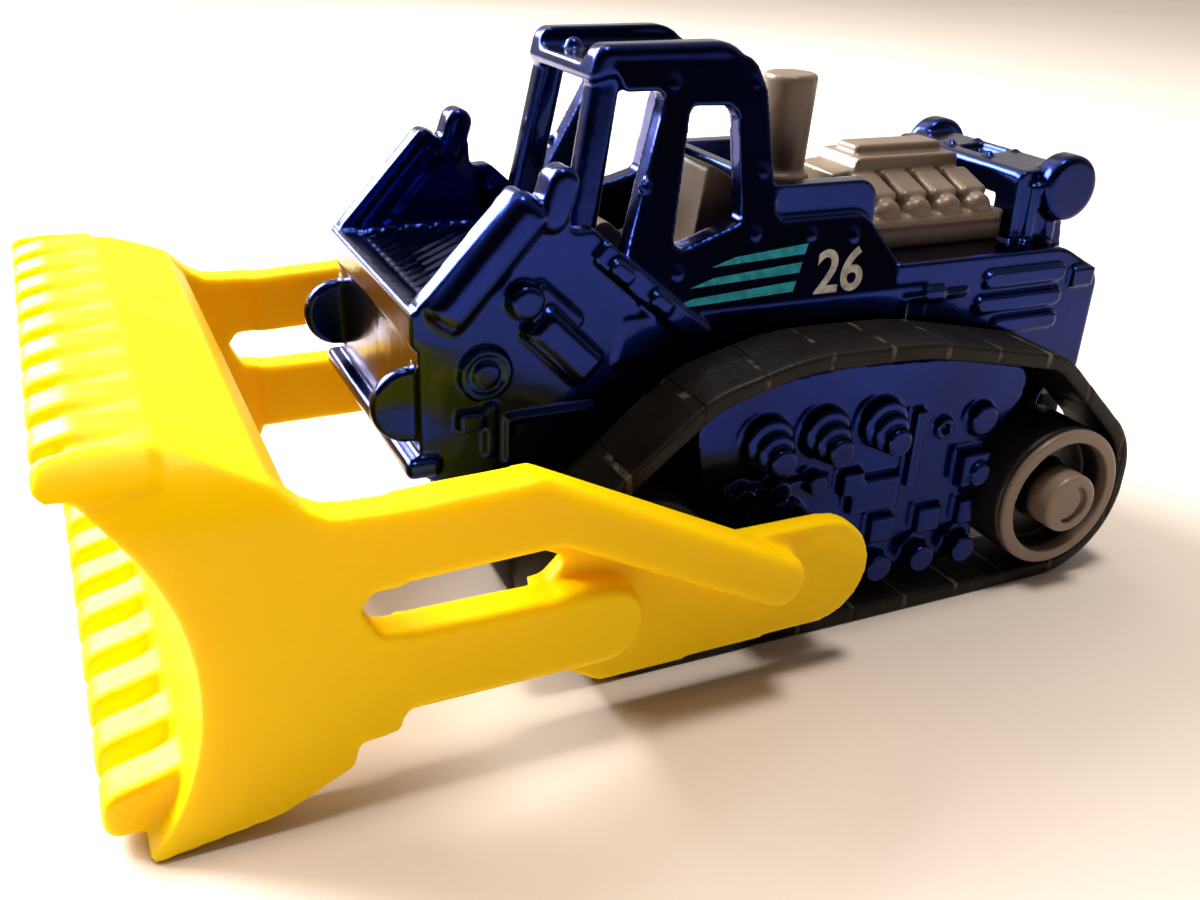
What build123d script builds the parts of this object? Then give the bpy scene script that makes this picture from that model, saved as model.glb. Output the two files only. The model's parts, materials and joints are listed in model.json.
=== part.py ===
from build123d import *
from math import atan2, degrees, hypot, radians, sin, tan
import os

os.makedirs("parts", exist_ok=True)

# Toy bulldozer, millimetres, +Z up, blade towards -Y, symmetric about X = 0.
# ---- tracks and wheels
TRACK_IN, TRACK_OUT = 9.3, 14.0      # inner and outer faces of a belt
BELT_THICK = 1.0
AXLE_Z = 6.2
FRONT_AXLE_Y, REAR_AXLE_Y = -3.4, 27.2
WHEEL_R = 4.9
RIM_IN = 3.95                        # inner radius of the rear wheel's trim ring
AXLE_R = 0.75
FRONT_WHEEL_OUT, REAR_WHEEL_OUT = 13.4, 14.4
RUN_FIT = 0.06                       # radial running clearance
# ---- body
HULL_X = 8.7
NOSE_Y = -14.6
DECK_Z = 21.5
CAB_LEAN_FOOT, CAB_LEAN = (8.8, 20.0), 0.31    # side sheet: x and z of its foot, inward lean
ROOF_Z = 33.4
FRAME_OUT = 12.0                               # outer face of the track frames
RIVET_Y, RIVET_R = (-6.6, 12.0), 1.6             # posts that clamp the base plate
# ---- blade
BLADE_HALF, BLADE_TOP = 19.0, 20.3
PIVOT_Y, PIVOT_Z, STUD_R = 6.3, 6.6, 1.5
ARM_IN, ARM_OUT, BAR_OUT = 15.8, 17.1, 19.0
CHEEK_Y = -18.6                     # rear edge of the blade cheeks, where the arms start
TOP_TEETH, TOP_PITCH = 11, 3.5
LOW_TEETH, LOW_PITCH = 9, 4.0


def face_of(*corners):
    """Closed outline from (u, v) or (u, v, corner radius) corners."""
    points = [Vector(c[0], c[1]) for c in corners]
    cuts = []
    arcs = []
    for i, here in enumerate(points):
        back = (points[i - 1] - here).normalized()
        ahead = (points[(i + 1) % len(points)] - here).normalized()
        radius = corners[i][2] if len(corners[i]) > 2 else 0
        half = radians(back.get_angle(ahead)) / 2
        reach = radius / tan(half)
        cuts.append((here + back * reach, here + ahead * reach))
        if radius:
            middle = here + (back + ahead).normalized() * (radius / sin(half) - radius)
            arcs.append(ThreePointArc(cuts[i][0], middle, cuts[i][1]))
    lines = [Line(cuts[i - 1][1], cuts[i][0]) for i in range(len(cuts))]
    return make_face(lines + arcs)


def side(shape, x0, x1):
    """Sketch drawn in (y, z), thickened from x0 to x1."""
    return extrude(Plane.YZ.offset(x0) * shape, x1 - x0)


def block(x0, x1, y0, y1, z0, z1):
    return Pos((x0 + x1) / 2, (y0 + y1) / 2, (z0 + z1) / 2) * Box(x1 - x0, y1 - y0, z1 - z0)


def disc(x0, x1, y, z, r):
    """Cylinder along X."""
    return Pos((x0 + x1) / 2, y, z) * Rot(0, 90, 0) * Cylinder(r, x1 - x0)


def bar(x0, x1, start, end, width, r):
    """Straight bar between two (y, z) points, with rounded corners."""
    (ya, za), (yb, zb) = start, end
    angle = degrees(atan2(zb - za, yb - ya))
    shape = RectangleRounded(hypot(yb - ya, zb - za), width, r)
    return side(Pos((ya + yb) / 2, (za + zb) / 2) * Rot(0, 0, angle) * shape, x0, x1)


def soften(part, radius, keep=lambda edge: True):
    """Round every chosen edge that will take the radius."""
    for edge in list(part.edges().filter_by(keep)):
        same = part.edges().sort_by_distance(edge.center())[0]
        try:
            part = fillet(same, radius)
        except Exception:
            pass
    return part


def both(part):
    """The part together with its mirror image across X = 0."""
    return part + mirror(part, Plane.YZ)


def lean_x(z):
    """Outer X of the leaning side sheet at height z."""
    return CAB_LEAN_FOOT[0] - CAB_LEAN * (z - CAB_LEAN_FOOT[1])


# ================================================================ tracks
BELT_OUTLINE = face_of(
    (33.25, 0, 6.1), (33.25, 9.3, 5.5), (25.6, 16.3, 4), (14.8, 18.5, 20),
    (6.3, 18.7, 15), (0.3, 17.2, 6), (-9.6, 9.2, 5), (-9.6, 0, 6.1),
)
BELT_LOOP = offset(BELT_OUTLINE, -BELT_THICK, kind=Kind.ARC)
belt = side(BELT_OUTLINE - BELT_LOOP, TRACK_IN, TRACK_OUT)

# ---------------------------------------------------------------- track frame
frame_edge = face_of(
    (24.6, 15.0, 1.2), (24.4, 12.8, 1), (22.6, 10.2, 1), (22.2, 1.9), (-0.6, 1.9), (1.9, 5.0, 2),
    (0.6, 13.0, 1), (0.2, 14.8, 2), (3.6, 16.3, 8), (10.0, 16.9, 20), (18.0, 16.4, 20),
)
wheel_room = WHEEL_R + 0.35
frame = side(frame_edge, HULL_X, FRAME_OUT)
for axle_y in (FRONT_AXLE_Y, REAR_AXLE_Y):
    frame -= disc(TRACK_IN - 1, FRAME_OUT + 1, axle_y, AXLE_Z, wheel_room)
frame = frame & side(offset(BELT_LOOP, -0.3, kind=Kind.ARC), TRACK_IN - 1, FRAME_OUT + 1)
for y in (5.0, 9.0, 13.2):
    frame += disc(FRAME_OUT - 0.5, 12.8, y, 12.9, 1.6)
    frame += disc(FRAME_OUT - 0.5, 13.3, y + 0.15, 12.5, 1.25)
    frame += disc(FRAME_OUT - 0.5, 13.9, y + 0.3, 12.15, 0.9)
frame += block(FRAME_OUT - 0.5, 12.6, 15.6, 16.4, 8.2, 13.4)
frame += disc(FRAME_OUT - 0.5, 12.5, 18.1, 11.8, 0.7) - disc(FRAME_OUT, 13, 18.1, 11.8, 0.35)
frame += disc(FRAME_OUT - 0.5, 12.7, 21.1, 12.0, 1.05)
frame += block(FRAME_OUT - 0.5, 12.7, 11.4, 15.0, 7.0, 9.3)
frame += block(FRAME_OUT - 0.5, 12.7, 10.6, 12.2, 8.4, 10)
frame += block(FRAME_OUT - 0.5, 13.0, 19.7, 21.8, 7.6, 9.9) + disc(FRAME_OUT - 0.5, 13.4, 20.9, 8.5, 0.8)
for y in (14.2, 17.9):
    frame += block(FRAME_OUT - 0.5, 12.7, y - 0.9, y + 0.9, 4.6, 6.4)
frame += block(FRAME_OUT - 0.5, 12.7, 20.3, 21.7, 4.6, 6.4)
for y in (14.0, 17.4, 20.8):
    frame += disc(FRAME_OUT - 0.5, 13.2, y, 2.9, 0.95)
for y, r in ((3.6, 0.7), (6.0, 0.8), (8.6, 0.7)):
    frame += disc(FRAME_OUT - 0.5, 12.9, y, 9.7, r)
frame += block(FRAME_OUT - 0.5, 12.4, 2.6, 9.6, 9.3, 10.1)
frame += disc(FRAME_OUT - 1, ARM_IN - 0.3, PIVOT_Y, PIVOT_Z, 2.4)
frame += disc(FRAME_OUT - 1, ARM_IN + 0.6, PIVOT_Y, PIVOT_Z, STUD_R)


# ================================================================ wheels and axles
def wheel(y, out):
    tread = disc(TRACK_IN + 0.3, out, y, AXLE_Z, WHEEL_R)
    recess = disc(out - 2.2, out + 1, y, AXLE_Z, 3.75)
    return soften(tread - recess, 0.3, lambda e: e.geom_type == GeomType.CIRCLE and e.radius > 4)


front_wheel = wheel(FRONT_AXLE_Y, FRONT_WHEEL_OUT)
rear_wheel = wheel(REAR_AXLE_Y, REAR_WHEEL_OUT - 0.5)
rear_rim = disc(REAR_WHEEL_OUT - 0.5, REAR_WHEEL_OUT, REAR_AXLE_Y, AXLE_Z, WHEEL_R - 0.05)
rear_rim = soften(rear_rim, 0.2)
rear_rim -= disc(REAR_WHEEL_OUT - 1, REAR_WHEEL_OUT + 1, REAR_AXLE_Y, AXLE_Z, RIM_IN)
hub = soften(disc(REAR_WHEEL_OUT - 2.7, REAR_WHEEL_OUT + 1.0, REAR_AXLE_Y, AXLE_Z, 2.05), 0.3)
dimple = disc(REAR_WHEEL_OUT + 0.5, REAR_WHEEL_OUT + 2, REAR_AXLE_Y, AXLE_Z, 1.3)
dimple -= disc(REAR_WHEEL_OUT, REAR_WHEEL_OUT + 2, REAR_AXLE_Y - 0.5, AXLE_Z + 0.2, 1.15)
hub_sleeve = disc(REAR_WHEEL_OUT - 2.7, REAR_WHEEL_OUT - 0.5, REAR_AXLE_Y, AXLE_Z, RIM_IN + 0.25)
hub_sleeve -= disc(REAR_WHEEL_OUT - 2.2, REAR_WHEEL_OUT, REAR_AXLE_Y, AXLE_Z, RIM_IN)
rear_wheel -= disc(REAR_WHEEL_OUT - 2.7, REAR_WHEEL_OUT, REAR_AXLE_Y, AXLE_Z, RIM_IN + 0.25)
rear_hub = rear_rim + hub_sleeve + hub - dimple
front_cap = soften(disc(FRONT_WHEEL_OUT - 2.2, FRONT_WHEEL_OUT - 0.6, FRONT_AXLE_Y, AXLE_Z, 1.8), 0.3)
front_wheel += front_cap
axle_reach = TRACK_IN + 1.5
front_axle = disc(-axle_reach, axle_reach, FRONT_AXLE_Y, AXLE_Z, AXLE_R)
rear_axle = disc(-axle_reach, axle_reach, REAR_AXLE_Y, AXLE_Z, AXLE_R)
front_wheel -= disc(0, axle_reach, FRONT_AXLE_Y, AXLE_Z, AXLE_R)
rear_wheel -= disc(0, axle_reach, REAR_AXLE_Y, AXLE_Z, AXLE_R)

# ================================================================ body casting
hull_edge = face_of(
    (NOSE_Y, 12.4, 0.6), (NOSE_Y, 21.6), (-4.6, 21.2), (-4.6, 18.6), (8.0, 18.6), (8.0, DECK_Z),
    (29.0, DECK_Z, 3), (32.5, 19.6, 2), (32.4, 12.6, 0.5), (29.5, 11.2, 1), (29.5, 8.6),
    (-3.0, 8.6), (-9.4, 9.4),
)
body = side(hull_edge, -HULL_X, HULL_X)
body -= block(-7.5, 7.5, -4.6, 8.0, 18.6, 23)
side_lean = Plane.XZ * face_of(
    (lean_x(20), 20), (10, 20), (10, 22), (lean_x(22), 22),
)
body -= both(extrude(side_lean, 60, both=True) & block(0, 12, -4.6, 15.6, 19, 23))

# side sheet with cab posts, sill and hump, cut from a leaning plate
sheet_edge = face_of(
    (-3.4, 17.5), (-2.2, 23.7), (0.9, 31.6, 0.4), (-1.6, 31.6), (-2.4, 33.3, 0.5),
    (6.6, ROOF_Z, 1.4), (7.3, 31.5), (7.4, 24.5, 0.6), (13.7, 24.5, 1.4), (16.0, 21.4, 0.5),
    (18.0, 21.3), (18.0, 17.5),
)
rear_window = face_of((2.3, 30.8, 0.6), (0.4, 23.2, 0.5), (5.1, 24.6, 0.5), (5.4, 30.7, 0.8))
sheet_side = side(sheet_edge - rear_window, 0, 12)
lean_outer = Plane.XZ * face_of(
    (lean_x(40), 40), (lean_x(16), 16), (lean_x(16) - 1.6, 16), (lean_x(40) - 1.3, 40),
)
sheet = sheet_side & extrude(lean_outer, 60, both=True)
sheet &= block(0, HULL_X + 0.1, -40, 40, 17, 40)

# front posts, leaning back
post_top, post_foot = (4.4, -3.1, 32.4), (5.6, -6.0, 17.5)
post = loft([
    Pos(post_foot[0] - 0.75, post_foot[1] + 0.95, post_foot[2]) * RectangleRounded(1.5, 1.9, 0.4),
    Pos(post_top[0] - 0.75, post_top[1] + 0.85, post_top[2] + 0.6) * RectangleRounded(1.5, 1.7, 0.4),
])

# roof with raised side rails round a sunken middle
roof_edge = face_of(
    (-3.6, 31.9, 0.3), (-3.1, 34.0, 0.9), (5.6, 34.1, 2.4), (7.4, 31.2, 0.3), (6.2, 31.2, 0.3),
    (5.2, 32.2, 0.5), (-2.4, 32.2, 0.3),
)
roof = side(roof_edge, -4.75, 4.75)
roof = soften(roof, 0.5, lambda e: abs(e.center().X) > 4.7 and e.length > 1.2)
roof -= soften(block(-3.2, 3.2, -6, 9, 32.95, 36), 0.6, lambda e: e.length > 12)
for x, y in ((-2.2, -1.6), (2.6, 1.9)):
    roof += Pos(x, y, 33.0) * Sphere(0.6)

# hopper walls with heavy rails along their sloping tops
wall_edge = face_of(
    (NOSE_Y, 18.0), (NOSE_Y, 21.9, 0.4), (-9.2, 27.8, 0.5), (-8.0, 26.9, 0.2), (-7.5, 28.5, 0.5),
    (-6.4, 28.3, 0.5), (-6.1, 25.2, 0.4), (-4.8, 25.3, 0.6), (-2.9, 23.6), (-2.0, 21.8), (-2.0, 18.0),
)
wall = side(wall_edge, 7.4, HULL_X)
rail = bar(7.2, 9.6, (-13.6, 20.9), (-8.1, 27.1), 2.5, 0.9)
rail = soften(rail, 0.95, lambda e: e.length > 5)
crest = soften(bar(7.3, 9.3, (-7.6, 25.4), (-6.5, 28.7), 1.7, 0.84), 0.45, lambda e: e.length > 1)

# shoulder housing behind the cab, open in the middle for the exhaust
housing = side(face_of((7.4, DECK_Z - 1), (7.4, 26.4), (14.6, 26.4, 1.2), (14.6, DECK_Z - 1)), -6.9, 6.9)
housing -= block(-5.6, 5.6, 8.3, 20, 23.2, 30)

# rear bar with end discs
hoop_bar = side(face_of((26.2, 24.2), (26.2, 26.0, 0.5), (30.4, 26.3, 0.5), (30.4, 24.2)), -6.0, 6.0)
hoop_bar -= block(-1.4, 1.4, 27.6, 29.6, 25.7, 27)
for x in (-1.9, 1.9):
    for y in (27.4, 29.7):
        hoop_bar += Pos(x, y, 26.1) * Sphere(0.35)
hoop_leg = side(face_of((26.2, 20), (26.2, 26.0, 0.6), (30.4, 26.2, 0.8), (30.6, 22.4), (31.0, 20)), 4.4, 6.4)
for y in (27.5, 29.3):
    hoop_leg += block(6.0, 6.8, y - 0.35, y + 0.35, 20.5, 25.2)
hoop_disc = soften(disc(5.6, 7.4, 29.9, 24.9, 2.15), 0.4)

# nose: lip band, ridge, bumper ledge and half-round lamps
lip = soften(block(-HULL_X, HULL_X, NOSE_Y - 0.35, NOSE_Y + 1, 19.7, 21.75), 0.2)
ledge = soften(block(-9.3, 9.3, NOSE_Y - 0.9, NOSE_Y + 1, 12.5, 13.6), 0.4)
lamp = soften(disc(HULL_X - 1.3, HULL_X - 0.45, NOSE_Y - 0.35, 16.4, 2.1), 0.25)

# raised details on the sides of the nose
trim = disc(8.2, 9.1, -11.0, 18.0, 1.45) - disc(8.9, 10, -11.0, 18.0, 1.1)
trim += disc(8.2, 9.2, -11.0, 18.0, 0.75)
trim += block(8.2, 9.3, -12.6, -11.2, 14.9, 15.9)
trim += block(8.2, 9.0, -11.0, -10.4, 13.2, 16.2)
pipe = bar(8.2, 9.9, (-8.4, 20.9), (-4.9, 17.4), 2.3, 0.5)
trim += soften(pipe, 0.7, lambda e: e.center().X > 9.8 and e.length > 1.5)
trim += soften(disc(8.2, 9.7, -8.9, 21.9, 0.95), 0.3, lambda e: e.center().X > 9.6)
trim += bar(8.2, 9.2, (-8.2, 22.6), (-5.6, 20.2), 0.8, 0.3)
trim += bar(7.2, 9.1, (-4.6, 24.2), (2.2, 18.4), 1.3, 0.3)
for y, z in ((-3.4, 23.0), (-0.9, 21.0)):
    trim += bar(7.4, 9.5, (y - 0.6, z + 0.5), (y + 0.6, z - 0.5), 0.8, 0.35)
trim += block(8.2, 8.95, -9.6, -4.5, 15.0, 15.3) + block(8.2, 8.95, -9.8, -9.5, 12.6, 15.3)

# louvres, tank block and hatch line on the rear quarter
for z, y0 in ((19.9, 22.4), (18.3, 22.0), (16.7, 23.6)):
    trim += bar(8.2, 9.1, (y0, z), (29.1, z), 1.05, 0.5)
trim += block(8.2, 9.1, 29.9, 31.6, 18.8, 20.1)
trim += block(8.2, 8.95, 16.4, 21.2, 19.2, 19.5) + block(8.2, 8.95, 16.2, 16.5, 17.6, 19.5)
trim += block(8.2, 9.1, 17.8, 19.3, 19.0, 19.8)

# rivets on the cab sheet
sheet_turn = Rot(0, 90 - degrees(atan2(CAB_LEAN, 1)), 0)
rivet_spots = (
    (1.3, 32.0), (6.5, 31.9), (-1.0, 26.8), (6.6, 27.2), (5.8, 23.9), (9.6, 23.6), (12.6, 23.3), (0.6, 22.2),
)
rivets = Part() + [Pos(lean_x(z) - 0.15, y, z) * sheet_turn * Cylinder(0.32, 0.5) for y, z in rivet_spots]

# tread-plate lines on the hopper floor
floor_lines = Part() + [Pos(x, -9.6, 21.4) * Rot(0, 0, 45) * Box(0.4, 30, 0.6) for x in range(-14, 15)]
floor_lines &= block(-7.4, 7.4, -13.4, -4.8, 21.0, 21.75)

body += roof + housing + hoop_bar + lip + ledge + floor_lines
for pair in (sheet, post, wall, rail, crest, hoop_leg, hoop_disc, lamp, trim, rivets):
    body += both(pair)
body -= block(-7.2, 7.2, -13.0, 28.5, 5, 17.4)
body += block(-5.0, 5.0, -4.7, -3.9, 18.0, 23.0)
for y in RIVET_Y:
    body += Pos(0, y, 10.15) * Cylinder(RIVET_R, 15.5)

# ================================================================ base plate
base_edge = face_of(
    (-13.2, 11.2, 0.2), (-12.6, 10.2, 0.3), (-9.2, 3.4, 1), (-7.5, 2.4, 1), (29.0, 2.4, 2), (31.4, 7.8, 1),
    (31.4, 11.0), (29.7, 11.0), (29.7, 8.5), (-3.2, 8.5), (-9.6, 9.3),
)
base = side(base_edge, -HULL_X, HULL_X) - block(-7.2, 7.2, -8.6, 28.4, 3.6, 20)
for y in (FRONT_AXLE_Y, REAR_AXLE_Y):
    base -= disc(-20, 20, y, AXLE_Z, AXLE_R + RUN_FIT)
    base += both(block(5.6, 7.3, y - 1.9, y + 1.9, 3.0, 8.5) - disc(0, 20, y, AXLE_Z, AXLE_R + RUN_FIT))
for y in RIVET_Y:
    base -= Pos(0, y, 3) * Cylinder(RIVET_R + 0.05, 3)
rivet = Cylinder(RIVET_R + 0.7, 0.5)
rivet_heads = [Pos(0, y, 2.15) * soften(rivet, 0.2, lambda e: e.center().Z < 0) for y in RIVET_Y]

# ================================================================ cab interior, engine, exhaust
seat = side(face_of(
    (1.8, 18.6), (1.8, 21.6, 0.4), (3.9, 21.8, 0.2), (4.7, 27.2, 0.4), (7.2, 25.8, 0.4), (7.2, 18.6),
), -3.2, 3.6)
console = side(face_of(
    (-3.7, 18.6), (-3.7, 23.4, 0.5), (-1.6, 24.2, 0.8), (0.2, 22.6, 0.6), (0.2, 18.6),
), -1.2, 3.4)
seat += console + block(-3.2, 3.6, -3.7, 7.2, 18.6, 19.2)

engine = block(-5.7, 5.7, 14.8, 26.0, DECK_Z, 23.5)
engine += side(face_of(
    (14.8, 23), (14.8, 25.6), (16.4, 25.8, 0.4), (16.6, 26.5, 0.3), (24.6, 26.5, 0.3), (24.6, 23),
), -2.1, 2.1)
engine += soften(block(-1.15, 1.15, 17.0, 23.9, 26.0, 27.1), 0.25, lambda e: e.center().Z > 26.8)
for i in range(4):
    y = 16.9 + 2.4 * i
    cover = soften(Pos(3.3, y, 24.3) * Rot(0, 20, 0) * Box(2.8, 2.0, 2.0), 0.3, lambda e: e.center().Z > 24.6)
    lobe = soften(disc(4.0, 5.75, y, 23.6, 0.98), 0.6, lambda e: e.center().X > 5.6)
    engine += both(cover & block(0, 9, 0, 40, 22.5, 30))
    engine += both(lobe)
engine += both(block(5.2, 5.9, 15.2, 25.6, 22.9, 23.3))

stack = Pos(0, 12.2, 28.6) * Cone(1.4, 1.7, 6.0) + Pos(0, 12.2, 24.4) * Cylinder(1.75, 2.4)
stack = soften(stack, 0.3, lambda e: e.center().Z > 25.5)

# ================================================================ blade and arms
tip, hollow, heel = (-32.3, 19.2), (-28.0, 10.0), (-31.1, 0.0)
front_arc = ThreePointArc(heel, hollow, tip)


def blade_section(*corners):
    """Face behind the hollow front arc, given the corners from the tip round to the heel."""
    path = Polyline([tip, *corners, heel])
    return make_face([front_arc, *path.edges()])


shell_edge = blade_section(
    (-31.6, 20.0), (-28.2, BLADE_TOP), (-24.0, 18.3), (-23.0, 16.9), (-24.4, 8.0), (-26.6, 0.6),
)
cheek_edge = blade_section(
    (-31.6, 20.0), (-28.2, BLADE_TOP), (-24.0, 18.3), (-22.6, 16.9), (-21.7, 16.4), (CHEEK_Y, 16.3),
    (CHEEK_Y, 5.2), (-19.0, 4.2), (-20.9, 4.0), (-21.2, 2.7), (-24.6, 1.0),
)
arm_window = face_of(
    (-20.6, 11.5, 0.4), (-20.0, 12.3, 0.3), (-12.4, 12.4, 0.3), (-9.4, 10.9, 0.2), (-10.6, 9.7, 0.5),
    (-18.2, 9.7, 0.6), (-19.8, 9.9, 0.4),
)
window_cut = side(arm_window, 10, 30)
cheek = side(cheek_edge, 16.9, BLADE_HALF)
cheek = soften(cheek, 0.35, lambda e: e.center().X > 18.9 and e.center().Y < -21 and e.center().Z > 1)
shell = side(shell_edge, -17.0, 17.0) + both(cheek - window_cut)


def front_view(top):
    """Everything inside the blade's outline as seen from the front, up to the given height."""
    outline = face_of((-BLADE_HALF, -1), (-BLADE_HALF, top, 4.2), (BLADE_HALF, top, 4.2), (BLADE_HALF, -1))
    return extrude(Plane.XZ * outline, 60, both=True)


shell &= front_view(BLADE_TOP)

# ribs over the top edge and along the bottom lip
top_rib = side(face_of(
    (-33.2, 18.9, 0.5), (-33.1, 20.1, 0.7), (-31.4, 20.55, 1.2), (-28.4, 20.3), (-28.4, 19.0), (-31.0, 18.7),
), -1.25, 1.25)
top_rib = soften(top_rib, 0.4, lambda e: abs(e.center().X) > 1.2 and e.center().Z > 19.2)
low_rib = side(face_of(
    (-32.8, 0.5, 0.8), (-32.7, 2.9, 1.1), (-30.0, 3.6, 1), (-28.6, 4.2), (-29.0, 0.6),
), -1.3, 1.3)
low_rib = soften(low_rib, 0.4, lambda e: abs(e.center().X) > 1.25 and e.center().Y < -29.5)
for i in range(TOP_TEETH):
    shell += Pos((i - (TOP_TEETH - 1) / 2) * TOP_PITCH, 0, 0) * top_rib & front_view(BLADE_TOP + 0.4)
for i in range(LOW_TEETH):
    shell += Pos((i - (LOW_TEETH - 1) / 2) * LOW_PITCH, 0, 0) * low_rib

upper_bar = side(face_of(
    (CHEEK_Y, 12.3), (CHEEK_Y, 16.3), (-11.7, 16.6, 0.8), (4.6, 8.4, 1.3), (3.2, 5.6, 1.3),
    (-10.6, 12.6, 0.4),
), 16.6, BAR_OUT)
lower_bar = side(face_of(
    (CHEEK_Y, 5.1), (CHEEK_Y, 9.85), (-9.0, 9.85, 1), (-5.8, 9.6, 2.2), (-5.8, 5.2, 2.15),
), 16.6, BAR_OUT)


def outer_edge(edge):
    return edge.center().X > 18.4 and edge.center().Y > CHEEK_Y + 0.5


arm = soften(upper_bar, 0.7, outer_edge) + soften(lower_bar, 0.7, outer_edge)
arm += side(face_of(
    (-11.6, 13.3), (-11.4, 15.6, 1), (0.2, 9.9, 1), (PIVOT_Y + 3.3, 9.9, 3.28),
    (PIVOT_Y + 3.3, 3.3, 3.28), (-7.4, 2.7, 2), (-10.4, 4.6, 1), (-11.2, 7.5, 1),
), ARM_IN, ARM_OUT)
arm -= window_cut
arm -= disc(0, ARM_IN + 0.7, PIVOT_Y, PIVOT_Z, STUD_R + RUN_FIT)
arm += disc(ARM_OUT - 0.1, ARM_OUT + 0.12, PIVOT_Y, PIVOT_Z, 2.2)
left_arm, right_arm = arm, mirror(arm, Plane.YZ)

# ================================================================ files
pieces = {
    "body_casting": body,
    "base_plate": base,
    "base_rivet_heads": rivet_heads[0] + rivet_heads[1],
    "left_track_frame": frame,
    "right_track_frame": mirror(frame, Plane.YZ),
    "left_track_belt": belt,
    "right_track_belt": mirror(belt, Plane.YZ),
    "front_axle": front_axle,
    "front_left_wheel": front_wheel,
    "front_right_wheel": mirror(front_wheel, Plane.YZ),
    "rear_axle": rear_axle,
    "rear_left_wheel": rear_wheel,
    "rear_right_wheel": mirror(rear_wheel, Plane.YZ),
    "rear_left_hub": rear_hub,
    "rear_right_hub": mirror(rear_hub, Plane.YZ),
    "cab_interior": seat,
    "engine_block": engine,
    "exhaust_stack": stack,
    "blade": shell,
    "left_blade_arm": left_arm,
    "right_blade_arm": right_arm,
}
for name, piece in pieces.items():
    solids = piece.solids()
    print(name, len(solids), "solid", round(sum(s.volume for s in solids)), "mm3")
    export_step(piece, f"parts/{name}.step")
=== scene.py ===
import json
import math

import bpy
from mathutils import Matrix, Vector


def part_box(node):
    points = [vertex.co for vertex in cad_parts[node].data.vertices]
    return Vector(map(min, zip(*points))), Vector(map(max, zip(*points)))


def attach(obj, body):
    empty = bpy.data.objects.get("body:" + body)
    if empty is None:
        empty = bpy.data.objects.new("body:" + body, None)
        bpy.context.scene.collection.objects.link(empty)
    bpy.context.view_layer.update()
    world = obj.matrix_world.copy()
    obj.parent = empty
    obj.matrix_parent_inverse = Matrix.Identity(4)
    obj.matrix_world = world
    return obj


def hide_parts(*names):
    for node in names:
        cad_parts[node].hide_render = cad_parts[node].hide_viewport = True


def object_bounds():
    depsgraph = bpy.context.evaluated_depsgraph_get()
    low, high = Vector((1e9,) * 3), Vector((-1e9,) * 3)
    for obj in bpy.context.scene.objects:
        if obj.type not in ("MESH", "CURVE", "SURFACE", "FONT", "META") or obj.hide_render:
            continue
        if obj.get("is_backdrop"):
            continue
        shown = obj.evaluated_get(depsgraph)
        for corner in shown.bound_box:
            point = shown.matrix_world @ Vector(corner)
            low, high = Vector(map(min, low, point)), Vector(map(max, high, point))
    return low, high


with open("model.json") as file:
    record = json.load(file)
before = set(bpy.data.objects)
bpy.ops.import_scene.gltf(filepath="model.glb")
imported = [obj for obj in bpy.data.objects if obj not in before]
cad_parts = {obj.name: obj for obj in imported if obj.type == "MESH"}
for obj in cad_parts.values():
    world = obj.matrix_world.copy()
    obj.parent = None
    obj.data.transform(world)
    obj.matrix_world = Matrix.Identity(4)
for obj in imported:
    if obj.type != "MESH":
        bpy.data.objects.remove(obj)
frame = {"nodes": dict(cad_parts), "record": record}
cad_low, cad_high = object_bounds()
scene = bpy.context.scene
MM = 0.001
FLAT, SHARP = 0.001, 0.12                    # how far rounding turns the normal on a face and at an edge
BEVEL_SAMPLES = 6


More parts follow.
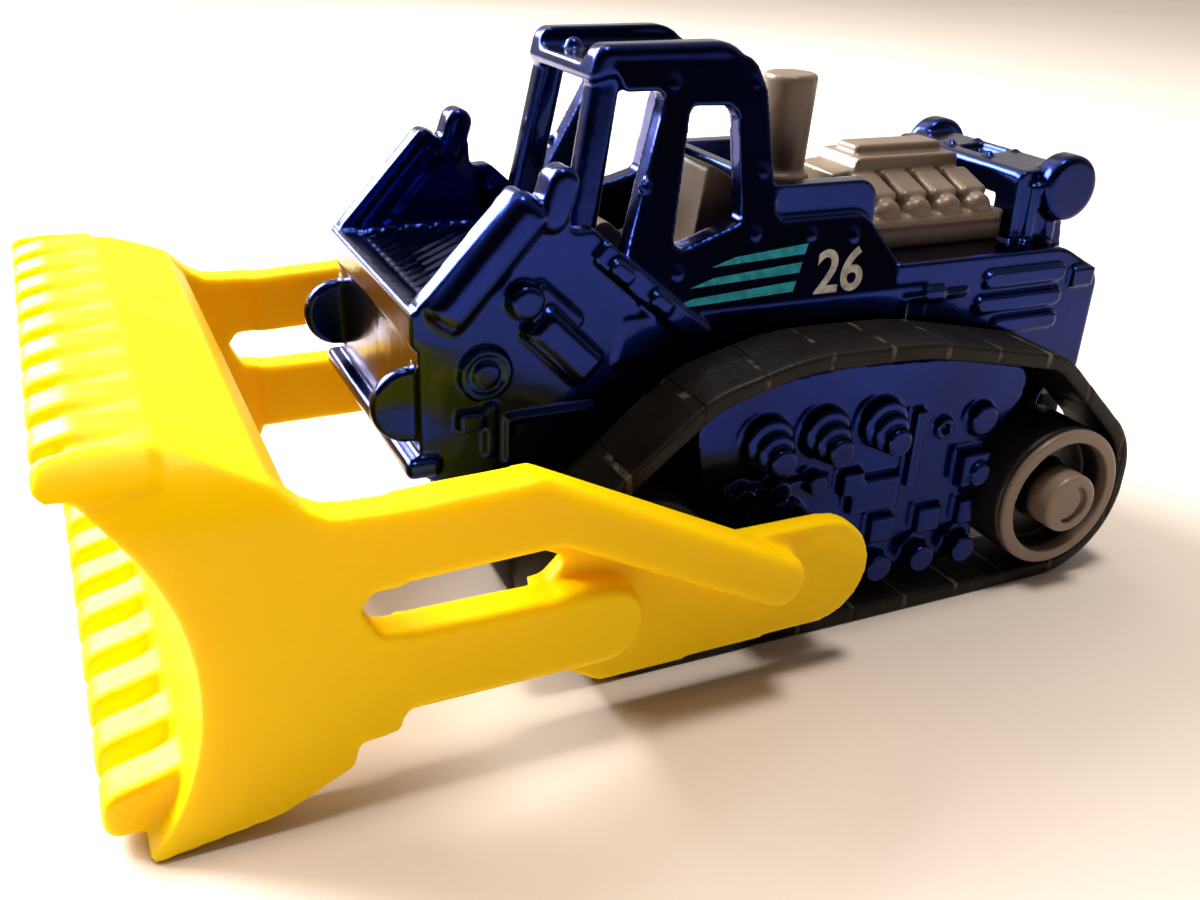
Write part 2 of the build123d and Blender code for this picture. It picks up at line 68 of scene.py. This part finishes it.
# ---------------------------------------------------------------- material helpers
class Look:
    """One Principled material with the helper nodes that the finishes share."""

    def __init__(self, name, **settings):
        self.material = bpy.data.materials.new(name)
        self.material.use_nodes = True
        self.tree = self.material.node_tree
        self.shader = self.tree.nodes["Principled BSDF"]
        for socket, value in settings.items():
            self.shader.inputs[socket.replace("_", " ")].default_value = value
        self.place = self.add("ShaderNodeTexCoord").outputs["Object"]

    def add(self, kind, links=None, **values):
        """New node; links maps input names to sockets or constants, values are node properties."""
        node = self.tree.nodes.new(kind)
        for key, value in values.items():
            setattr(node, key, value)
        for key, value in (links or {}).items():
            if isinstance(value, bpy.types.NodeSocket):
                self.tree.links.new(value, node.inputs[key])
            else:
                node.inputs[key].default_value = value
        return node

    def noise(self, scale, detail=3.0, stretch=(1, 1, 1)):
        """Noise from 0 to 1; scale is in cells per metre, multiplied by stretch along each axis."""
        spread = self.add("ShaderNodeMapping", {"Vector": self.place, "Scale": stretch})
        made = self.add("ShaderNodeTexNoise", {
            "Vector": spread.outputs[0], "Scale": scale, "Detail": detail,
        })
        return made.outputs["Fac"]

    def ramp(self, value, low, high, start=0.0, end=1.0):
        """value rescaled from low..high to start..end, clamped."""
        made = self.add("ShaderNodeMapRange", {
            "Value": value, "From Min": low, "From Max": high, "To Min": start, "To Max": end,
        })
        return made.outputs["Result"]

    def math(self, operation, a, b):
        return self.add("ShaderNodeMath", {0: a, 1: b}, operation=operation).outputs[0]

    def mix(self, amount, a, b):
        """Colour a at 0 and b at 1."""
        made = self.add("ShaderNodeMix", {"Factor": amount, "A": a, "B": b}, data_type="RGBA")
        return made.outputs["Result"]

    def edges(self, radius):
        """1 along the sharp edges and 0 on the faces."""
        rounded = self.add("ShaderNodeBevel", {"Radius": radius}, samples=BEVEL_SAMPLES).outputs["Normal"]
        plain = self.add("ShaderNodeNewGeometry").outputs["Normal"]
        dot = self.add("ShaderNodeVectorMath", {0: rounded, 1: plain}, operation="DOT_PRODUCT")
        return self.ramp(dot.outputs["Value"], 1 - FLAT, 1 - SHARP)

    def surface(self, radius, *bumps):
        """Shading normal: edges rounded by radius, then (height socket, depth in metres) bumps."""
        normal = self.add("ShaderNodeBevel", {"Radius": radius}, samples=BEVEL_SAMPLES).outputs["Normal"]
        for height, depth in bumps:
            node = self.add("ShaderNodeBump", {"Height": height, "Normal": normal, "Distance": depth})
            normal = node.outputs["Normal"]
        self.tree.links.new(normal, self.shader.inputs["Normal"])
        return normal

    def feed(self, socket, value):
        self.tree.links.new(value, self.shader.inputs[socket])


def rgb(red, green, blue):
    return (red, green, blue, 1.0)


def dimmed(colour, share):
    return rgb(*(c * share for c in colour[:3]))


# ---------------------------------------------------------------- finishes
def candy_blue():
    """Clear blue lacquer over bright metal, lighter and greener where it is thin on the edges."""
    look = Look("candy_blue", Metallic=1.0, Coat_Weight=0.25, Coat_Roughness=0.04, Coat_IOR=1.45)
    cloud = look.ramp(look.noise(90, 2), 0.3, 0.7)
    base = look.mix(cloud, rgb(0.0015, 0.007, 0.075), rgb(0.0025, 0.015, 0.15))
    thin = look.edges(0.28 * MM)
    base = look.mix(look.math("MULTIPLY", thin, 0.6), base, rgb(0.003, 0.10, 0.30))
    specks = look.ramp(look.noise(2600, 2), 0.72, 0.8)
    look.feed("Base Color", look.mix(look.math("MULTIPLY", specks, 0.12), base, rgb(0.02, 0.12, 0.4)))
    look.feed("Roughness", look.ramp(look.noise(240, 3), 0.3, 0.75, 0.13, 0.26))
    peel = look.noise(520, 2)
    flow = look.noise(120, 1)
    normal = look.surface(0.24 * MM, (peel, 0.03 * MM), (flow, 0.12 * MM))
    look.feed("Coat Normal", normal)
    return look.material


def moulded(name, dark, light, grain, rounding, rough, painted_shade_reach=None):
    """Moulded plastic: soft colour drift, a painted highlight along the edges, fine skin; painted recess
    shade, near black, where |x| is under the given reach.
    """
    look = Look(name)
    drift = look.ramp(look.noise(110, 3), 0.3, 0.7)
    base = look.mix(drift, dark, light)
    # painted highlight: the edges are lightened as if light caught them
    painted_edge_highlight = look.edges(rounding * 1.3)
    painted_highlight_colour = rgb(*(c * 1.45 + 0.012 for c in light[:3]))
    base = look.mix(look.math("MULTIPLY", painted_edge_highlight, 0.4), base, painted_highlight_colour)
    if painted_shade_reach:
        across = look.add("ShaderNodeSeparateXYZ", {"Vector": look.place}).outputs["X"]
        reach = look.math("ABSOLUTE", across, 0.0)
        shade = look.ramp(reach, painted_shade_reach - 0.3 * MM, painted_shade_reach + 0.2 * MM, 1.0, 0.0)
        # painted shade: the hub's recess floor is darkened to near black, as shade falls in it
        base = look.mix(shade, base, rgb(0.004, 0.0035, 0.003))
    look.feed("Base Color", base)
    look.feed("Roughness", look.ramp(look.noise(300, 4), 0.3, 0.7, *rough))
    look.surface(rounding, (look.noise(grain, 3), 0.03 * MM), (look.noise(160, 1), 0.1 * MM))
    return look.material


def yellow_plastic():
    """Waxy yellow plastic that lets a little light through, with a painted highlight along the edges, and
    scuffs.
    """
    look = Look(
        "yellow_plastic", Specular_IOR_Level=0.1,
        Subsurface_Weight=0.3, Subsurface_Scale=1.6 * MM, Subsurface_Radius=(1.0, 0.65, 0.02),
    )
    drift = look.ramp(look.noise(70, 3), 0.3, 0.7)
    base = look.mix(drift, rgb(1.0, 0.60, 0.0), rgb(1.0, 0.66, 0.0))
    # painted highlight: the edges are tinted paler yellow, as if lit
    painted_highlight_edges = look.edges(0.4 * MM)
    look.feed("Base Color", look.mix(look.math("MULTIPLY", painted_highlight_edges, 0.35), base, rgb(1.0, 0.78, 0.0)))
    scuff = look.ramp(look.noise(900, 2, (1, 0.25, 1)), 0.62, 0.8, 0.0, 0.2)
    look.feed("Roughness", look.math("ADD", look.ramp(look.noise(200, 3), 0.3, 0.7, 0.34, 0.46), scuff))
    look.surface(0.3 * MM, (look.noise(1400, 3), 0.02 * MM), (look.noise(140, 1), 0.1 * MM))
    return look.material


TREAD_PITCH, TREAD_START = 4.1 * MM, 39.5 * MM  # spacing of the belt's cross lines, shift along y
TREAD_WOBBLE = 0.18 * MM


def track_rubber():
    """Black rubber with thin cross lines, worn here and there to bright nicks, with a painted highlight
    along its edges.
    """
    look = Look("track_rubber", Specular_IOR_Level=0.16)
    axes = look.add("ShaderNodeSeparateXYZ", {"Vector": look.place})
    wobble = look.ramp(look.noise(260, 2), 0, 1, -TREAD_WOBBLE, TREAD_WOBBLE)
    along = look.math("ADD", axes.outputs["Y"], wobble)
    shifted = look.math("ADD", along, TREAD_START)
    cell = look.math("FRACT", look.math("DIVIDE", shifted, TREAD_PITCH), 0.0)
    from_line = look.math("ABSOLUTE", look.math("SUBTRACT", cell, 0.5), 0.0)
    line = look.ramp(from_line, 0.03, 0.055, 1.0, 0.0)
    drift = look.ramp(look.noise(180, 4), 0.3, 0.75)
    base = look.mix(drift, rgb(0.0035, 0.0032, 0.003), rgb(0.008, 0.007, 0.0065))
    # painted highlight: a patchy brownish sheen along the belt's edges, as if lit
    painted_edge_highlight = look.math("MULTIPLY", look.edges(0.3 * MM), look.ramp(look.noise(420, 3), 0.25, 0.6))
    base = look.mix(look.math("MULTIPLY", painted_edge_highlight, 0.6), base, rgb(0.05, 0.03, 0.022))
    nicks = look.math("MULTIPLY", line, look.ramp(look.noise(700, 3), 0.5, 0.66))
    look.feed("Base Color", look.mix(look.math("MULTIPLY", nicks, 0.45), base, rgb(0.22, 0.19, 0.16)))
    look.feed("Roughness", look.ramp(look.noise(330, 4), 0.3, 0.7, 0.34, 0.55))
    look.surface(0.22 * MM, (look.noise(1500, 3), 0.05 * MM), (line, -0.1 * MM))
    return look.material


def plain_metal(name, colour, rough):
    """Drawn metal with streaks along x."""
    look = Look(name, Metallic=1.0)
    streak = look.noise(500, 4, (0.2, 1, 1))
    look.feed("Base Color", look.mix(look.ramp(streak, 0.3, 0.7), colour, dimmed(colour, 0.7)))
    look.feed("Roughness", look.ramp(streak, 0.3, 0.7, rough, rough + 0.2))
    look.surface(0.1 * MM, (streak, 0.02 * MM))
    return look.material


def print_ink(name, colour, metal):
    """Printed colour with worn, darker specks."""
    look = Look(name, Metallic=metal, Coat_Weight=0.4, Coat_Roughness=0.1)
    worn = look.ramp(look.noise(1600, 4), 0.35, 0.6)
    look.feed("Base Color", look.mix(worn, dimmed(colour, 0.6), colour))
    look.feed("Roughness", look.ramp(look.noise(900, 2), 0.3, 0.7, 0.25, 0.4))
    return look.material


PAINTED_SHADE_DEPTH = 1.7 * MM                      # from the hub cap's face to where the painted shade in the rim's recess begins
finishes = {
    "candy_blue": candy_blue(),
    "yellow_plastic": yellow_plastic(),
    "track_rubber": track_rubber(),
    "black_plastic": moulded(
        "black_plastic", rgb(0.010, 0.009, 0.009), rgb(0.022, 0.019, 0.018), 1800, 0.2 * MM, (0.35, 0.5),
    ),
    "grey_plastic": moulded(
        "grey_plastic", rgb(0.115, 0.080, 0.058), rgb(0.165, 0.118, 0.086), 1600, 0.2 * MM, (0.3, 0.44),
    ),
    "hub_plastic_painted_shade": moulded(
        "hub_plastic_painted_shade", rgb(0.19, 0.135, 0.098), rgb(0.25, 0.185, 0.14), 1600, 0.15 * MM, (0.28, 0.4),
        painted_shade_reach=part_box("rear_left_hub")[1][0] - PAINTED_SHADE_DEPTH,
    ),
    "axle_steel": plain_metal("axle_steel", rgb(0.6, 0.58, 0.56), 0.22),
    "bare_metal": plain_metal("bare_metal", rgb(0.55, 0.55, 0.57), 0.35),
}
for part in frame["record"]["subparts"]:
    node = frame["nodes"][part["node"]]
    node.data.materials.clear()
    finish = "hub_plastic_painted_shade" if part["node"].endswith("_hub") else part["material_slot"]
    node.data.materials.append(finishes[finish])


# ---------------------------------------------------------------- soft moulded forms
def soften(piece, voxel, smoothing):
    """Rounds a piece's edges as casting or moulding rounds them, with modifiers only."""
    remesh = piece.modifiers.new("skin", "REMESH")
    remesh.mode = "VOXEL"
    remesh.voxel_size = voxel
    remesh.use_smooth_shade = True
    relax = piece.modifiers.new("relax", "SMOOTH")
    relax.factor = 0.5
    relax.iterations = smoothing


def fused(name, body, parts, finish, voxel, smoothing):
    """One soft-edged moulding made from the CAD nodes that are cast or moulded together."""
    joined = bpy.data.meshes.new(name)
    corners, faces = [], []
    for part in parts:
        mesh = frame["nodes"][part].data
        start = len(corners)
        corners += [tuple(v.co) for v in mesh.vertices]
        faces += [[start + i for i in face.vertices] for face in mesh.polygons]
    joined.from_pydata(corners, [], faces)
    piece = bpy.data.objects.new(name, joined)
    scene.collection.objects.link(piece)
    soften(piece, voxel, smoothing)
    bpy.context.view_layer.update()
    made = bpy.data.meshes.new_from_object(piece.evaluated_get(bpy.context.evaluated_depsgraph_get()))
    piece.modifiers.clear()
    piece.data = made
    made.name = name
    made.materials.clear()
    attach(piece, body)
    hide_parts(*parts)
    made.materials.append(finishes[finish])


ARMED_BLADE = ["blade", "left_blade_arm", "right_blade_arm"]
fused("blade_and_arms", "blade_assembly", ARMED_BLADE, "yellow_plastic", 0.18 * MM, 9)
fused("body_shell", "chassis", ["body_casting"], "candy_blue", 0.13 * MM, 3)

for part in ("left_track_frame", "right_track_frame", "engine_block", "cab_interior", "exhaust_stack"):
    soften(frame["nodes"][part], 0.12 * MM, 3)
for part in ("left_track_belt", "right_track_belt"):
    soften(frame["nodes"][part], 0.13 * MM, 4)
for end in ("front", "rear"):
    for hand in ("left", "right"):
        soften(frame["nodes"][f"{end}_{hand}_wheel"], 0.12 * MM, 3)
for hand in ("left", "right"):
    soften(frame["nodes"][f"rear_{hand}_hub"], 0.1 * MM, 3)

# ---------------------------------------------------------------- printed marks on the leaning side sheets
LEAN = 0.31                                  # inward lean of the sheet per unit of height
FOOT_X, FOOT_Z = 8.8 * MM, 20.0 * MM         # outer surface of the sheet at its foot
PRINT_LIFT = 0.03 * MM
STRIPES, STRIPE_STEP = 3, 1.05               # stripes on each side, and their spacing up the sheet in mm
NUMBER_AT = (11.2 * MM, 0.35 * MM)           # centre along the sheet and baseline up it
teal = print_ink("teal_print", rgb(0.02, 0.36, 0.5), 0.3)
silver = print_ink("silver_print", rgb(0.72, 0.70, 0.68), 0.5)


def sheet_matrix(side):
    """From print coordinates, u towards the rear on the left side, v up the sheet, to the row frame."""
    up = Vector((-LEAN * side, 0, 1)).normalized()
    along = Vector((0, side, 0))
    out = along.cross(up)
    origin = Vector((side * FOOT_X, 0, FOOT_Z)) + out * PRINT_LIFT
    turn = Matrix((along, up, out)).transposed().to_4x4()
    return Matrix.Translation(origin) @ turn


def stripe(name, side, corners):
    """Flat printed patch with (y, height up the sheet) corners in millimetres."""
    mesh = bpy.data.meshes.new(name)
    points = [(side * y * MM, v * MM, 0) for y, v in corners]
    order = range(len(points)) if side > 0 else reversed(range(len(points)))
    mesh.from_pydata(points, [], [list(order)])
    patch = bpy.data.objects.new(name, mesh)
    patch.matrix_world = sheet_matrix(side)
    scene.collection.objects.link(patch)
    mesh.materials.append(teal)
    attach(patch, "chassis")


for side, word in ((1, "left"), (-1, "right")):
    for i in range(STRIPES):
        low = 0.35 + STRIPE_STEP * i
        start, stop = -0.2 + 1.5 * i, 8.4 + 0.5 * i
        stripe(f"{word}_stripe_{i + 1}", side, [
            (start, low), (stop - 0.3, low + 0.25), (stop, low + 0.85), (start + 1.6, low + 0.45),
        ])
    number = bpy.data.curves.new(f"{word}_number", "FONT")
    number.body = "26"
    number.size = 3.5 * MM
    number.offset = 0.06 * MM
    number.extrude = 0.01 * MM
    number.shear = 0.25
    number.align_x = "CENTER"
    figure = bpy.data.objects.new(f"{word}_number", number)
    figure.matrix_world = sheet_matrix(side) @ Matrix.Translation((side * NUMBER_AT[0], NUMBER_AT[1], 0))
    scene.collection.objects.link(figure)
    number.materials.append(silver)
    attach(figure, "chassis")

# ---------------------------------------------------------------- floor, light and camera
FLOOR_HALF, FLOOR_GAP = 2.0, 0.02 * MM
floor_mesh = bpy.data.meshes.new("floor")
floor_corners = [(x * FLOOR_HALF, y * FLOOR_HALF, 0) for x, y in ((-1, -1), (1, -1), (1, 1), (-1, 1))]
floor_mesh.from_pydata(floor_corners, [], [(0, 1, 2, 3)])
floor = bpy.data.objects.new("floor", floor_mesh)
floor.location.z = cad_low[2] - FLOOR_GAP
scene.collection.objects.link(floor)
paper = Look("pale_paper", Roughness=0.7, Specular_IOR_Level=0.2)
mottle = paper.ramp(paper.noise(18, 2), 0.3, 0.7)
paper.feed("Base Color", paper.mix(mottle, rgb(0.66, 0.595, 0.56), rgb(0.69, 0.63, 0.595)))
floor_mesh.materials.append(paper.material)
floor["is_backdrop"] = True


def lamp(name, place, target, size, power, colour):
    """Soft rectangular light, aimed at target; places and size in metres, power in watts."""
    data = bpy.data.lights.new(name, "AREA")
    data.shape = "RECTANGLE"
    data.size, data.size_y = size
    data.energy = power
    data.color = colour
    light = bpy.data.objects.new(name, data)
    light.location = place
    light.rotation_euler = (Vector(target) - Vector(place)).to_track_quat("-Z", "Y").to_euler()
    scene.collection.objects.link(light)


lamp("window_light", (-0.22, -0.16, 0.17), (0, 0, 0.01), (0.22, 0.16), 4.4, (1.0, 0.98, 0.94))
lamp("ceiling_light", (0.02, 0.02, 0.40), (0, 0, 0.0), (0.08, 0.08), 1.1, (1.0, 0.90, 0.78))
sun = bpy.data.lights.new("sky_light", "SUN")
sun.energy = 1.2
sun.angle = math.radians(50)
sun.color = (1.0, 0.86, 0.68)
sky_light = bpy.data.objects.new("sky_light", sun)
sky_light.rotation_euler = Vector((0.75, 0.35, -1.0)).to_track_quat("-Z", "Y").to_euler()
scene.collection.objects.link(sky_light)

# A room that is bright behind the toy and dark and warm behind the camera.
world = bpy.data.worlds.new("studio")
world.use_nodes = True
scene.world = world
room = world.node_tree
back = room.nodes["Background"]
look_at = room.nodes.new("ShaderNodeTexCoord")
facing = room.nodes.new("ShaderNodeVectorMath")
facing.operation = "DOT_PRODUCT"
facing.inputs[1].default_value = Vector((-0.75, 0.25, 0.45)).normalized()
shade = room.nodes.new("ShaderNodeMapRange")
shade.inputs["From Min"].default_value = -0.35
shade.inputs["From Max"].default_value = 0.75
tone = room.nodes.new("ShaderNodeMix")
tone.data_type = "RGBA"
tone.inputs["A"].default_value = rgb(0.10, 0.055, 0.028)
tone.inputs["B"].default_value = rgb(0.85, 0.78, 0.70)
room.links.new(look_at.outputs["Generated"], facing.inputs[0])
room.links.new(facing.outputs["Value"], shade.inputs["Value"])
room.links.new(shade.outputs["Result"], tone.inputs["Factor"])
room.links.new(tone.outputs["Result"], back.inputs["Color"])
back.inputs["Strength"].default_value = 0.7

AZIMUTH, ELEVATION, ROLL = math.radians(64.15), math.radians(25.63), math.radians(-2.56)
CAMERA_AT = Vector((64.67, -31.1, 42.14)) * MM
camera_data = bpy.data.cameras.new("camera")
camera_data.sensor_width = 36
camera_data.lens = 36
camera_data.clip_start, camera_data.clip_end = 0.002, 10
camera = bpy.data.objects.new("camera", camera_data)
backward = Vector((
    math.sin(AZIMUTH) * math.cos(ELEVATION), -math.cos(AZIMUTH) * math.cos(ELEVATION), math.sin(ELEVATION),
))
level = Vector((0, 0, 1)).cross(backward).normalized()
upright = backward.cross(level)
right = level * math.cos(ROLL) - upright * math.sin(ROLL)
camera_up = backward.cross(right)
turn = Matrix((right, camera_up, backward)).transposed().to_4x4()
camera.matrix_world = Matrix.Translation(CAMERA_AT) @ turn
scene.collection.objects.link(camera)
scene.camera = camera
scene.view_settings.view_transform = "Standard"

bpy.context.view_layer.update()
low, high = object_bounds()
